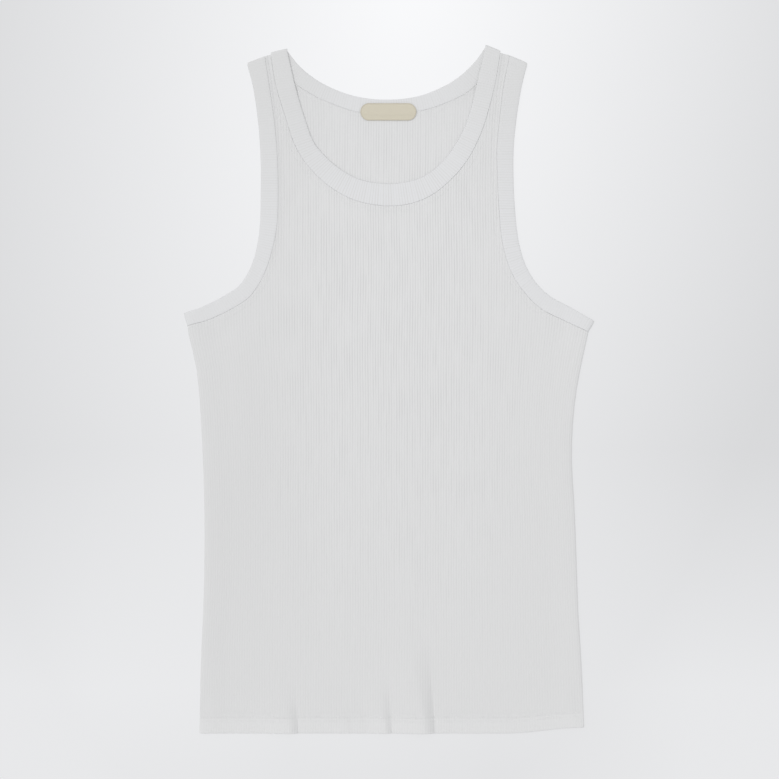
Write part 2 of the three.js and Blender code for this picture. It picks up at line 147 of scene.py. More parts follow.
def parts_of(tree, vector):
    return add_node(tree, "SeparateXYZ", {"Vector": vector}).outputs


def scaled(tree, vector, scale):
    node = add_node(tree, "VectorMath", {0: vector, "Scale": scale}, operation="SCALE")
    return node.outputs["Vector"]


bpy.ops.mesh.primitive_plane_add(size=floor_size, location=(0, 0, -floor_drop))
floor = bpy.context.object
floor.name = "paper_floor"
paper_finish = {"Emission Strength": paper_glow, "Roughness": 1.0, "Specular IOR Level": 0.0}
material, tree, shader = new_material("pale_paper", paper_finish)
x, y, _ = parts_of(tree, object_place(tree))
across = calc(tree, "SUBTRACT", x, product(tree, y, bright_lean))
leaning = add_node(tree, "CombineXYZ", {"X": across, "Y": y}).outputs["Vector"]
centring = {
    "Vector": leaning,
    "Location": (*(-m / r for m, r in zip(bright_middle, bright_reach)), 0),
    "Scale": (*(1 / reach for reach in bright_reach), 0),
}
centred = add_node(tree, "Mapping", centring).outputs["Vector"]
# The painted pool of light, and the painted light below the hem with its painted shadow.
painted_light_pool = add_node(tree, "TexGradient", {"Vector": centred}, gradient_type="SPHERICAL").outputs["Fac"]
painted_light_below_hem = map_range(tree, y, *foot_up, foot_rise, 0.0)
painted_light_below_hem = product(tree, painted_light_below_hem, map_range(tree, calc(tree, "ABSOLUTE", x), *foot_aside))
level = calc(tree, "ADD", calc(tree, "MULTIPLY_ADD", painted_light_pool, bright_rise, paper_level), painted_light_below_hem)
tinted = scaled(tree, paper_tint, level)
tree.links.new(tinted, shader.inputs["Emission Color"])
tree.links.new(scaled(tree, tinted, paper_share), shader.inputs["Base Color"])
floor.data.materials.append(material)

# Front panel: one cut of white cotton rib knit with a deep round neck and cut-in armholes. Its ribs
# run from hem to shoulder. The hem is turned once to the inside and held by two rows of stitches.
cloth = 0.001  # one layer of the knit, between two ribs
shell = 0.0009  # the wall of one layer, which leaves air between the two of a hem
rib_pitch = 0.0026  # one rib and one groove
ribs_each_side = 72  # ribs from the middle line to where the side fold begins
ribs_round_fold = 3  # ribs that lie on the quarter round of a side fold
rib_rise = 0.00015
rib_stray = dict(across=9.0, up=12.0, wide=0.0009)  # the ribs waver a little as the cloth lies
band = 0.0018  # thickness of a band, folded double
seam_gap = 0.0003
side_round = 0.005
side_flatness = 0.55  # below 1, a side fold is flatter on top and turns down later
shoulder_round = 0.003
side_loft = 0.0014  # the front springs up this much beside the side folds
loft_reach = 0.026
hem_deep = 0.0150
hem_step = 0.0026
hem_round = cloth  # the turn of the hem, outside
hem_turned = 0.0148  # how far the turned edge reaches up inside
shoulder_up = 0.6795
shoulder_at = 0.117
shoulder_slope = 0.25
length = 0.6891  # hem to the highest point of the neck band
front_band_under = band + seam_gap
front_under = front_band_under + 0.0001
hem_under = 2 * cloth + seam_gap
hem_slant = dict(start=0.118, end=0.195, rise=0.006, reach=0.080)
strap_lean = dict(start=0.590, steep=1.1, inner=0.045, outer=0.090)


def rows_of(columns, *rows):
    """A table with named columns, as a dictionary for each of its rows."""
    return [dict(zip(columns.split(), row)) for row in rows]


# Where the side folds lie, from the hem to the underarm, in metres from the middle line.
side_folds = rows_of(
    "up left right",
    (0.000, -0.1897, 0.1952),
    (0.070, -0.1882, 0.1924),
    (0.120, -0.1860, 0.1894),
    (0.168, -0.1847, 0.1877),
    (0.224, -0.1847, 0.1856),
    (0.272, -0.1861, 0.1828),
    (0.312, -0.1880, 0.1840),
    (0.344, -0.1903, 0.1877),
    (0.368, -0.1932, 0.1921),
    (0.384, -0.1970, 0.1956),
    (0.401, -0.2009, 0.1994),
    (0.420, -0.2030, 0.2030),
)

# The neck band in front, from the viewer's left shoulder to the right: its seam and its free edge.
neck_front = rows_of(
    "at seam edge",
    ("shoulder", (-0.1183, 0.6813), (-0.1018, 0.6856)),
    ("strap", (-0.1139, 0.6505), (-0.0952, 0.6530)),
    ("strap", (-0.1040, 0.6170), (-0.0866, 0.6225)),
    ("side of neck", (-0.0923, 0.5845), (-0.0750, 0.5910)),
    ("round", (-0.0767, 0.5625), (-0.0617, 0.5753)),
    ("round", (-0.0567, 0.5450), (-0.0458, 0.5626)),
    ("round", (-0.0327, 0.5327), (-0.0273, 0.5536)),
    ("middle", (0.0013, 0.5275), (0.0003, 0.5498)),
    ("round", (0.0273, 0.5315), (0.0225, 0.5528)),
    ("round", (0.0473, 0.5415), (0.0370, 0.5586)),
    ("round", (0.0673, 0.5595), (0.0530, 0.5712)),
    ("side of neck", (0.0793, 0.5750), (0.0634, 0.5846)),
    ("side of neck", (0.0913, 0.5985), (0.0750, 0.6052)),
    ("strap", (0.0999, 0.6245), (0.0830, 0.6292)),
    ("strap", (0.1063, 0.6505), (0.0888, 0.6540)),
    ("shoulder", (0.1113, 0.6830), (0.0964, 0.6895)),
)

# The armhole bands, from the shoulder to the underarm.
armhole_left_of_view = rows_of(
    "at seam edge",
    ("shoulder", (-0.1239, 0.6776), (-0.1417, 0.6712)),
    ("strap", (-0.1197, 0.6475), (-0.1360, 0.6455)),
    ("strap", (-0.1139, 0.6065), (-0.1304, 0.6050)),
    ("chest", (-0.1113, 0.5665), (-0.1283, 0.5665)),
    ("chest", (-0.1109, 0.5305), (-0.1285, 0.5305)),
    ("chest", (-0.1121, 0.5075), (-0.1292, 0.5095)),
    ("round", (-0.1163, 0.4855), (-0.1317, 0.4895)),
    ("round", (-0.1247, 0.4599), (-0.1377, 0.4681)),
    ("round", (-0.1387, 0.4375), (-0.1497, 0.4483)),
    ("round", (-0.1567, 0.4250), (-0.1649, 0.4379)),
    ("underarm", (-0.1807, 0.4136), (-0.1861, 0.4269)),
    ("side", (-0.2017, 0.4075), (-0.2059, 0.4199)),
)
armhole_right_of_view = rows_of(
    "at seam edge",
    ("shoulder", (0.1200, 0.6786), (0.1380, 0.6712)),
    ("strap", (0.1143, 0.6469), (0.1330, 0.6485)),
    ("strap", (0.1102, 0.6120), (0.1273, 0.6135)),
    ("chest", (0.1078, 0.5860), (0.1247, 0.5860)),
    ("chest", (0.1082, 0.5600), (0.1243, 0.5600)),
    ("chest", (0.1095, 0.5305), (0.1255, 0.5300)),
    ("chest", (0.1133, 0.4905), (0.1295, 0.4928)),
    ("round", (0.1217, 0.4625), (0.1362, 0.4693)),
    ("round", (0.1357, 0.4405), (0.1468, 0.4510)),
    ("round", (0.1523, 0.4245), (0.1612, 0.4372)),
    ("underarm", (0.1733, 0.4138), (0.1790, 0.4274)),
    ("side", (0.1993, 0.4010), (0.2059, 0.4119)),
)

# Soft upright folds that rise from the hem of the front: where each ends in a crease at the hem, how
# far up it reaches, its height, and how wide it is on its gentle side, on the viewer's left, and on
# its steep one. It leans to the viewer's left, and it widens and dies out as it rises.
hem_folds = rows_of(
    "crease long high gentle steep",
    (-0.0905, 0.056, 0.0044, 0.032, 0.0095),
    (-0.0375, 0.034, 0.0008, 0.014, 0.0060),
    (0.0030, 0.075, 0.0032, 0.018, 0.0070),
    (0.0462, 0.118, 0.0058, 0.034, 0.0120),
)
hem_fold_lean = 0.08
hem_fold_spread = 0.8  # how much wider a fold is at its end than at the hem

# Soft ridges (above 0) and troughs (below 0) of the front: the middle, the lean from upright in
# degrees, half the length, half the width and the height.
front_creases = rows_of(
    "x up lean long wide high",
    (-0.150, 0.300, 3, 0.100, 0.026, 0.0016),
    (0.158, 0.290, -3, 0.085, 0.020, 0.0010),
    (-0.185, 0.026, 4, 0.016, 0.006, -0.0008),
    (0.189, 0.030, -6, 0.018, 0.006, -0.0009),
    (-0.086, 0.548, 38, 0.020, 0.005, -0.0006),
    (0.080, 0.543, -36, 0.022, 0.005, -0.0007),
    (-0.165, 0.400, 62, 0.030, 0.007, -0.0007),
    (0.160, 0.398, -60, 0.032, 0.007, -0.0007),
    (-0.060, 0.470, 14, 0.050, 0.012, 0.0005),
    (0.070, 0.440, -10, 0.060, 0.013, 0.0005),
    (0.020, 0.190, 4, 0.090, 0.016, 0.0005),
    (-0.100, 0.150, -5, 0.070, 0.014, 0.0004),
)


def smooth(t):
    """A soft step from 0 to 1 as t goes from 0 to 1."""
    t = min(max(t, 0.0), 1.0)
    return t * t * (3 - 2 * t)


def bell(t):
    return math.exp(-(t**2))


def side_fold_at(side, up):
    """Where the side fold lies at a height, on a smooth line through the rows of its table."""
    column = "left" if side < 0 else "right"
    last = len(side_folds) - 1
    up = min(max(up, side_folds[0]["up"]), side_folds[last]["up"])
    above = next(i for i in range(1, last + 1) if side_folds[i]["up"] >= up)
    nearest = (min(max(i, 0), last) for i in range(above - 2, above + 2))
    before, low, high, after = (side_folds[i] for i in nearest)
    span = high["up"] - low["up"]
    t = (up - low["up"]) / span
    slope_low = (high[column] - before[column]) / (high["up"] - before["up"]) * span
    slope_high = (after[column] - low[column]) / (after["up"] - low["up"]) * span
    return (
        (2 * t**3 - 3 * t**2 + 1) * low[column]
        + (t**3 - 2 * t**2 + t) * slope_low
        + (3 * t**2 - 2 * t**3) * high[column]
        + (t**3 - t**2) * slope_high
    )


flat_edges = {}


def flat_edge_at(side, up):
    """How far from the middle line the side fold begins to curve, at a height."""
    key = (side < 0, round(up, 6))
    if key not in flat_edges:
        flat_edges[key] = abs(side_fold_at(side, up)) - side_round
    return flat_edges[key]


def rib_x(rib, up):
    """Where a rib lies at a height, before the side fold carries it over. Those in the middle run
    straight, the outer ones follow the side folds, and those of a strap lean out with it."""
    half = ribs_each_side * rib_pitch
    share = min(max(rib / ribs_each_side, -1.0), 1.0)
    x = half * share * (1 + abs(share) ** 3 * (flat_edge_at(rib, up) / half - 1))
    stray = noise.noise(Vector((x * rib_stray["across"], up * rib_stray["up"], 0)))
    x += rib_stray["wide"] * stray * (1 - share**4)
    if up > strap_lean["start"]:
        out = smooth((abs(x) - strap_lean["inner"]) / (strap_lean["outer"] - strap_lean["inner"]))
        x += math.copysign(out * strap_lean["steep"] * (up - strap_lean["start"]) ** 2, x)
    return x


def fold_turn(rib):
    """How far a rib has turned round the side fold, from 0 to a quarter turn."""
    return max(0.0, abs(rib) - ribs_each_side) / ribs_round_fold * math.pi / 2


last_rib = ribs_each_side + ribs_round_fold
halvings = 26  # enough to find a rib to a few millionths


def rib_at(x, up):
    """The rib that lies at a place. Beyond the side fold the count goes on at the ribs' pitch."""
    edge = flat_edge_at(x, up) + side_round
    if abs(x) >= edge:
        return math.copysign(last_rib + (abs(x) - edge) / rib_pitch, x)
    low, high = -last_rib, last_rib
    for _ in range(halvings):
        rib = (low + high) / 2
        reach = rib_x(rib, up) + math.copysign(side_round * math.sin(fold_turn(rib)), rib)
        low, high = (rib, high) if reach < x else (low, rib)
    return rib


def shoulder_flat(rib):
    """Where the shoulder fold begins to curve, as a height above the hem along a rib."""
    x = rib_x(rib, shoulder_up)
    return shoulder_up - shoulder_slope * (abs(x) - shoulder_at) - shoulder_round


def loft_at(x, up):
    inward = abs(side_fold_at(x, up)) - abs(x)
    return side_loft * (1 - smooth((inward - side_round) / loft_reach))


crease_ends = 3  # beyond so many times half its length, a crease is left out


def crease_at(x, up):
    """How far the soft ridges and troughs of the front raise it at a place."""
    rise = 0.0
    for crease in front_creases:
        dx, dy = x - crease["x"], up - crease["up"]
        if max(abs(dx), abs(dy)) > crease_ends * crease["long"]:
            continue
        lean = math.radians(crease["lean"])
        along = (dx * math.sin(lean) + dy * math.cos(lean)) / crease["long"]
        across = (dx * math.cos(lean) - dy * math.sin(lean)) / crease["wide"]
        rise += crease["high"] * math.exp(-along * along - across * across)
    return rise


def rib_profile(rib):
    """The height of the cloth across one rib: 1 on its crest and 0 in the groove."""
    off = abs(rib - math.floor(rib) - 0.5) * 2
    return 1 - off * off


# A smooth line mixes four knots in three rounds. A mix spans the times of these two of them.
mix_spans = (((0, 1), (1, 2), (2, 3)), ((0, 2), (1, 3)), ((1, 2),))


def smooth_line(knots, steps):
    """Points on a smooth line through the knots, with so many steps from knot to knot."""
    ends = [2 * knots[0] - knots[1], 2 * knots[-1] - knots[-2]]
    knots = [ends[0], *knots, ends[1]]
    line = []
    for spots in zip(knots, knots[1:], knots[2:], knots[3:]):
        times = [0.0]
        for a, b in zip(spots, spots[1:]):
            times.append(times[-1] + (b - a).length ** 0.5)
        for step in range(steps):
            t = times[1] + (times[2] - times[1]) * step / steps
            mixed = spots
            for spans in mix_spans:
                pairs = zip(mixed, mixed[1:], spans)
                mixed = [a.lerp(b, (t - times[i]) / (times[j] - times[i])) for a, b, (i, j) in pairs]
            line.append(mixed[0])
    return [*line, knots[-2]]


def fold_direction(row):
    """The way in which cloth runs round a fold: straight up at a shoulder, and at the side square
    to the band."""
    if row["at"] == "shoulder":
        return Vector((0, 1))
    across = (Vector(row["edge"]) - Vector(row["seam"])).normalized()
    return Vector((-across.y, across.x)) if across.x < 0 else Vector((across.y, -across.x))


def fold_round(row):
    return shoulder_round if row["at"] == "shoulder" else side_round


steps_per_row = 30
steps_beyond = 20
beyond_folds = 0.008  # how far a seam's line runs on past its two ends


def band_lines(table):
    """The seam and the free edge of a band, step by step, between the curves of its two folds."""
    seams = [Vector(row["seam"]) for row in table]
    edges = [Vector(row["edge"]) for row in table]
    for i in (0, -1):
        back = fold_direction(table[i]) * fold_round(table[i])
        seams[i] = seams[i] - back
        edges[i] = edges[i] - back
    return list(zip(smooth_line(seams, steps_per_row), smooth_line(edges, steps_per_row)))


def seam_line(table, apart=0.0, beyond=beyond_folds):
    """The line where a panel is cut for a band, or one that lies apart from it in the cloth. It
    runs on past both of its folds."""
    line = []
    for seam, edge in band_lines(table):
        line.append(seam + (seam - edge).normalized() * apart)
    shares = [step / steps_beyond for step in range(1, steps_beyond + 1)]
    start, end = (
        [line[i] + fold_direction(table[i]) * beyond * share for share in shares] for i in (0, -1)
    )
    return start[::-1] + line + end


columns_in_rib = (0.0, 0.2, 0.5, 0.8)
columns = [rib + part for rib in range(-last_rib, last_rib) for part in columns_in_rib][1:]
line_step = 0.0010  # a seam has its points no closer than this
least_step = 0.0005  # and a column has its rows no closer to a seam


def with_columns(line):
    """A line in (rib, up) with a point wherever it crosses a column, and those points by column."""
    made, crossings = [line[0]], []
    for start, end in zip(line, line[1:]):
        low, high = sorted((start.x, end.x))
        between = [i for i in range(*np.searchsorted(columns, (low, high))) if columns[i] > low]
        for i in between if start.x < end.x else between[::-1]:
            t = (columns[i] - start.x) / (end.x - start.x)
            made.append(Vector((columns[i], start.y + (end.y - start.y) * t)))
            crossings.append((i, made[-1].y))
        made.append(end)
    return made, crossings


def in_ribs(line):
    """A line of (x, up) as (rib, up along the rib), with fewer points but its two ends kept."""
    kept = [line[0]]
    for point in line[1:-1]:
        if (point - kept[-1]).length >= line_step:
            kept.append(point)
    return [Vector((rib_at(point.x, point.y), point.y)) for point in [*kept, line[-1]]]


def inside(points, outline):
    """Which of the points lie in a closed outline."""
    x, y = np.array(points).T
    found = np.zeros(len(x), bool)
    corners = np.array(outline)
    for (x0, y0), (x1, y1) in zip(corners, np.roll(corners, -1, axis=0)):
        if y0 != y1:
            crosses = (y0 > y) != (y1 > y)
            found ^= crosses & (x < (x1 - x0) * (y - y0) / (y1 - y0) + x0)
    return found


# How far up a rib the panel has its rows of points: close together at the hem's stitches and
# trough, and wider above. The rows below zero lie on the turned part of the hem.
rows_up = [0.0, 0.0005, 0.001, 0.003, 0.006, 0.0095, 0.0125, 0.0136, 0.0149, 0.0157, 0.0163, 0.0169]
rows_up += [0.0178, 0.0192, 0.0215, 0.026, 0.032, 0.040, 0.050]
for reach, step in ((0.375, 0.0185), (0.600, 0.0085), (length, 0.0100)):
    while rows_up[-1] < reach:
        rows_up.append(rows_up[-1] + step)
hem_start = hem_round - math.pi * hem_round - (hem_turned - hem_round)
rows_turned = [hem_start, -0.012, -0.007, -0.00214, -0.0017, -0.0012, -0.0006]
all_rows = rows_turned[1:] + rows_up
rolled = shoulder_round * math.pi / 2
roll_shares = (0.34, 0.67, 1.0)  # where the shoulder's quarter round has its points


def seam_on_panel(line, starts_at_side, ends_at_side):
    """The part of a seam, in (rib, up), that lies on the panel: from the shoulder's roll or the very
    end of the side's to the next."""
    points = in_ribs(line)
    held = [abs(p.x) < last_rib and p.y < shoulder_flat(p.x) for p in points]
    first = held.index(True)
    last = len(held) - 1 - held[::-1].index(True)
    ends = []
    for at_side, near, beyond in ((starts_at_side, first, first - 1), (ends_at_side, last, last + 1)):
        near = points[near]
        if at_side:
            far = points[beyond]
            share = (last_rib - abs(near.x)) / (abs(far.x) - abs(near.x))
            ends.append([near.lerp(far, share)])
        else:
            flat = shoulder_flat(near.x)
            ends.append([Vector((near.x, flat + rolled * share)) for share in roll_shares])
    return ends[0][::-1] + points[first : last + 1] + ends[1]


sharp_from = math.radians(50)


def smooth_mesh(name, points, faces):
    mesh = bpy.data.meshes.new(name)
    mesh.from_pydata(points, [], faces)
    mesh.shade_smooth()
    return mesh


def closed_wall(name, outer, inner, faces):
    """A mesh with an outer and an inner face, joined along every edge of the sheet."""
    count = len(outer)
    edges = dict.fromkeys(pair for face in faces for pair in zip(face, [*face[1:], face[0]]))
    rim = [(b, a, a + count, b + count) for a, b in edges if (b, a) not in edges]
    inside_faces = [[corner + count for corner in face[::-1]] for face in faces]
    mesh = smooth_mesh(name, [*outer, *inner], [*faces, *inside_faces, *rim])
    mesh.set_sharp_from_angle(angle=sharp_from)
    return mesh


rib_digits, up_digits = 6, 8  # points alike in so many decimals are one
keep_inside = 1  # of the net over the cut, only what lies inside its outline
net_tolerance = 1e-8


def panel_mesh(name, neck_table, lines_apart, place, faces_up):
    """The wall of a panel, and the area of its cut. It is laid out flat as ribs across and their
    length up, cut along the seams, and then each point is put in its place."""
    neck = seam_line(neck_table)
    from_right = neck if neck[0].x > 0 else neck[::-1]
    up_right = seam_on_panel(seam_line(armhole_right_of_view)[::-1], True, False)
    down_left = seam_on_panel(seam_line(armhole_left_of_view), False, True)
    outline = [Vector((-last_rib, hem_start)), Vector((last_rib, hem_start))]
    outline += [Vector((last_rib, up)) for up in all_rows if up < up_right[0].y - least_step]
    outline += up_right + seam_on_panel(from_right, False, False) + down_left
    outline += [Vector((-last_rib, up)) for up in all_rows[::-1] if up < down_left[-1].y - least_step]
    cut = np.array([(point.x * rib_pitch, point.y) for point in outline])
    onward = np.roll(cut, -1, axis=0)
    area = float((cut[:, 0] * onward[:, 1] - cut[:, 1] * onward[:, 0]).sum()) / 2
    outline.append(outline[0])
    outline, cuts = with_columns(outline)
    outline.pop()
    ends = {}
    for i, up in cuts:
        ends.setdefault(i, []).append(up)
    points, links, index = [], [], {}

    def point_number(rib, up):
        key = (round(rib, rib_digits), round(up, up_digits))
        if key not in index:
            index[key] = len(points)
            points.append(Vector((rib * rib_pitch, up)))
        return index[key]

    def link(line):
        numbers = [point_number(*point) for point in line]
        links.extend((a, b) for a, b in zip(numbers, numbers[1:]) if a != b)

    link([*outline, outline[0]])
    steps = {}
    for apart in lines_apart:
        for table in (neck_table, armhole_left_of_view, armhole_right_of_view):
            line, crossings = with_columns(in_ribs(seam_line(table, apart)))
            keep = inside(line, outline)
            for start, end, both in zip(line, line[1:], keep[1:] & keep[:-1]):
                if both:
                    link([start, end])
            keep = inside([(columns[i], up) for i, up in crossings], outline)
            for (i, up), held in zip(crossings, keep):
                if held:
                    steps.setdefault(i, []).append(up)
    for i, ups in ends.items():
        ups.sort()
        flat = shoulder_flat(columns[i])
        rolls = [flat, *(flat + rolled * share for share in roll_shares[:-1])]
        rows = [up for up in all_rows if up < flat - least_step] + rolls
        for low, high in zip(ups[::2], ups[1::2]):
            fixed = [low, high, *(up for up in steps.get(i, []) if low < up < high)]
            plain = [up for up in rows if all(abs(up - other) > least_step for other in fixed)]
            line = sorted(fixed + [up for up in plain if low < up < high])
            link([(columns[i], up) for up in line])
    laid, _, faces, *_ = geometry.delaunay_2d_cdt(points, links, [], keep_inside, net_tolerance)
    spots = [(point.x / rib_pitch, point.y) for point in laid]
    outer, inner = zip(*(place(rib, up) for rib, up in spots))
    mesh = closed_wall(name, outer, inner, faces if faces_up else [face[::-1] for face in faces])
    weave = mesh.uv_layers.new(name="weave")
    for loop in mesh.loops:
        rib, up = spots[loop.vertex_index % len(spots)]
        weave.data[loop.index].uv = (rib, up / rib_pitch)
    return add_object(name, mesh), area


def tree_of_seams(*tables):
    """A search tree of the seam lines, to tell how far a place lies from the nearest."""
    points = [point for table in tables for point in seam_line(table)]
    found = kdtree.KDTree(len(points))
    for i, point in enumerate(points):
        found.insert(point.to_3d(), i)
    found.balance()
    return found


def hem_turn(up, wall):
    """Where a place along a rib lies once the hem is turned: its height above the hem, and how deep
    it lies under the outer face, for the outer face or for one that lies a wall inside it."""
    if up >= hem_round:
        return up, wall
    run = hem_round - up
    turn = min(run / hem_round, math.pi)
    radius = hem_round - wall
    turned_up = hem_round - radius * math.sin(turn) + max(0.0, run - math.pi * hem_round)
    return turned_up, hem_round - radius * math.cos(turn)


seam_drop = 0.00028  # how far the cloth's edge bends down into a seam
seam_bend = 0.0006
underarm_deeper = 0.7  # how much further it bends down at the underarm
underarm = dict(up=0.415, over=0.050)
seam_lift = dict(high=0.0006, reach=0.0035)  # beside an upright seam the band's edges carry the cloth
upright = dict(x=0.098, wide=0.008, up=0.440, over=0.050)
stitch_rows = (0.0023, 0.0056)  # how far the two rows of stitches lie from the seam
stitch_sink = 0.00012
stitch_narrow = 0.0005
hem_stitch_rows = (0.0125, 0.0163)
hem_trough = dict(up=0.0176, wide=0.0022, deep=0.00045)
hem_sink = 0.00026
hem_uneven = 30.0


def seam_shape(x, up, apart):
    """How far the cloth sinks beside a seam: its edge bends down, and each row of stitches draws it
    in. Along the upright part of an armhole it lies almost level with the band."""
    edge = max(0.0, 1 - apart / seam_bend)
    deeper = underarm_deeper * (1 - smooth((up - underarm["up"]) / underarm["over"]))
    lifted = smooth((abs(x) - upright["x"]) / upright["wide"])
    lifted *= smooth((up - upright["up"]) / upright["over"])
    bent = 1 - math.sqrt(max(0.0, 1 - edge * edge))
    sink = seam_drop * (1 + deeper) * (1 - lifted / 2) * bent
    sink -= seam_lift["high"] * lifted * (1 - smooth(apart / seam_lift["reach"]))
    for row in stitch_rows:
        sink += stitch_sink * bell((apart - row) / stitch_narrow)
    return sink


def hem_shape(x, up):
    """How far the cloth sinks at the hem's stitches and in the trough above them, more in some
    places than in others."""
    sink = hem_trough["deep"] * bell((up - hem_trough["up"]) / hem_trough["wide"])
    for row in hem_stitch_rows:
        sink += hem_sink * bell((up - row) / stitch_narrow)
    return sink * (1 + noise.noise(Vector((x * hem_uneven, 0, 0))))


def in_space(x, up, z):
    return Vector((x, up - length / 2, z))


def panel_place(rib, along, outer_at, seam_level):
    """The places in space of a point of a panel, on its outer face and on its inner one. outer_at
    gives the height of the outer face, and seam_level that of the side and shoulder seams."""
    turn = fold_turn(rib)
    flat = shoulder_flat(rib)
    shoulder_turn = min(max(0.0, along - flat) / shoulder_round, math.pi / 2)
    places, height = [], None
    for wall in (0.0, shell):
        up, deep = hem_turn(along, wall)
        up = min(up, flat)
        x = rib_x(rib, up)
        slant = smooth((x - hem_slant["start"]) / (hem_slant["end"] - hem_slant["start"]))
        up += hem_slant["rise"] * slant * max(0.0, 1 - up / hem_slant["reach"])
        x += math.copysign((side_round - deep) * math.sin(turn), rib)
        height = height or (*outer_at(x, up, rib), seam_level(x, up, shoulder_turn))
        outer, inward, seam = height
        up += (shoulder_round - deep) * math.sin(shoulder_turn)
        rise = math.cos(turn) ** side_flatness * math.cos(shoulder_turn)
        z = seam + (outer + inward * deep - seam) * rise
        places.append(in_space(x, up, z))
    return places


front_seams = tree_of_seams(neck_front, armhole_left_of_view, armhole_right_of_view)
drift = dict(across=11.0, up=5.0, seed=1.7, high=0.00035)  # soft cloth lies a little uneven
ribs_pressed = 0.35  # how high the ribs still are right beside a seam
fade_reach = 0.0025
loft_gone = 0.25  # how far round the shoulder's fold, in radians, the loft ends
side_gap = 0.00012  # half the slit between front and back along a fold


def front_wall(up):
    """How high the front's inner face lies, and how thick the front is: two layers at the hem."""
    extra = 1 - smooth((up - hem_deep) / hem_step)
    return front_under + (hem_under - front_under) * extra, cloth * (1 + extra)


def front_outer(x, up, rib):
    """The height of the front's outer face, and which way inside is."""
    apart = front_seams.find((x, up, 0))[2]
    under, thick = front_wall(up)
    height = under + thick + loft_at(x, up)
    for fold in hem_folds:
        gone = smooth(up / fold["long"])
        off = x - fold["crease"] + hem_fold_lean * up
        spread = 1 + hem_fold_spread * gone
        steep = min(max(off / spread / fold["steep"] + 1, 0.0), 1.0)
        gentle = smooth(-(off / spread + fold["steep"]) / fold["gentle"])
        height += fold["high"] * (1 - gone) * math.cos(steep * math.pi / 2) * (1 - gentle)
    drifting = noise.noise(Vector((x * drift["across"], up * drift["up"], drift["seed"])))
    height += crease_at(x, up) + drift["high"] * drifting
    standing = ribs_pressed + (1 - ribs_pressed) * smooth(apart / fade_reach)
    height += rib_rise * rib_profile(rib) * standing
    return height - seam_shape(x, up, apart) - hem_shape(x, up), -1


def front_seam_level(x, up, shoulder_turn):
    """The height of the side and shoulder seams, half a slit above the middle of the two panels."""
    under, thick = front_wall(up)
    loft = side_loft * (1 - smooth(shoulder_turn / loft_gone))
    return (under + thick + loft) / 2 + side_gap


def front_place(rib, along):
    return panel_place(rib, along, front_outer, front_seam_level)


knit_finish = {
    "Roughness": 0.93,
    "Specular IOR Level": 0.15,
    "Sheen Weight": 0.12,
    "Sheen Roughness": 0.7,
}
groove_power = 3.0  # the higher, the narrower the shade in a groove
stitch_course = 0.42  # the height of one knit stitch, in ribs
legs_slant = 0.22  # how much higher, in ribs, the legs of a stitch stand in the groove
leg_depth = 0.5
knit_relief = 0.0002
fuzz = dict(scale=1500, detail=3)
# Noise for the painted shade in the grooves: patches of it, and stripes that vary it rib by rib.
groove_shade_patches = dict(scale=26, detail=4)
stripes = dict(scale=1.0, detail=1)
stripe_stretch = (0.8, 0.06, 1)  # a stripe is about a rib wide and many long
stripe_range = (0.35, 0.65, 0.5, 1.5)
layer_shades = (0.65, 1.0)  # the shade on two layers, as at the hem, and on one
layer_blend = 0.1  # how soft the change between them is, in ribs

# How the painted shade varies over the garment: the axis, the two places in metres between which it
# changes, and its strength at either. That in the grooves is clearest on the middle of the chest, and
# that on the cloth greys it towards the hem, at its sides and on the straps.
groove_shades = (
    ("Y", -0.28, 0.05, 0.3, 2.0),  # above the hem
    ("Y", 0.16, 0.30, 2.0, 0.8),  # below the straps
    ("X", -0.14, -0.05, 0.2, 1.0),  # on the viewer's left
    ("X", 0.06, 0.15, 1.0, 0.3),  # on the right
)
cloth_shades = (
    ("Y", -0.30, 0.10, 0.42, 0.10),  # above the hem
    ("X", -0.14, -0.05, 0.27, 0.0),  # on the left
    ("X", 0.06, 0.15, 0.0, 0.15),  # on the right
    ("Y", -0.32, -0.10, 0.1, 1.0),  # how the two of the sides fade towards the hem
    ("Y", 0.16, 0.30, 0.0, 1.0),  # on the straps
    ("aside", 0.04, 0.09, 0.5, 1.0),  # how that of the straps fades towards the neck
)


def noise_on(tree, vector, scale, detail):
    sockets = {"Vector": vector, "Scale": scale, "Detail": detail}
    return add_node(tree, "TexNoise", sockets).outputs["Fac"]


def add_relief(tree, shader, height, strength, distance):
    """Relief too fine for the mesh, as a bump."""
    bump = add_node(tree, "Bump", {"Height": height, "Strength": strength, "Distance": distance})
    tree.links.new(bump.outputs["Normal"], shader.inputs["Normal"])


def add_colour(tree, shader, share, first, second):
    """The shader's colour, mixed of two."""
    node = add_node(tree, "Mix", {}, data_type="RGBA")
    colours = dict(A=first, B=second)
    for socket in node.inputs:
        if socket.type == "RGBA":
            socket.default_value = (*colours[socket.name], 1)
    tree.links.new(share, node.inputs["Factor"])
    mixed = next(socket for socket in node.outputs if socket.type == "RGBA")
    tree.links.new(mixed, shader.inputs["Base Color"])


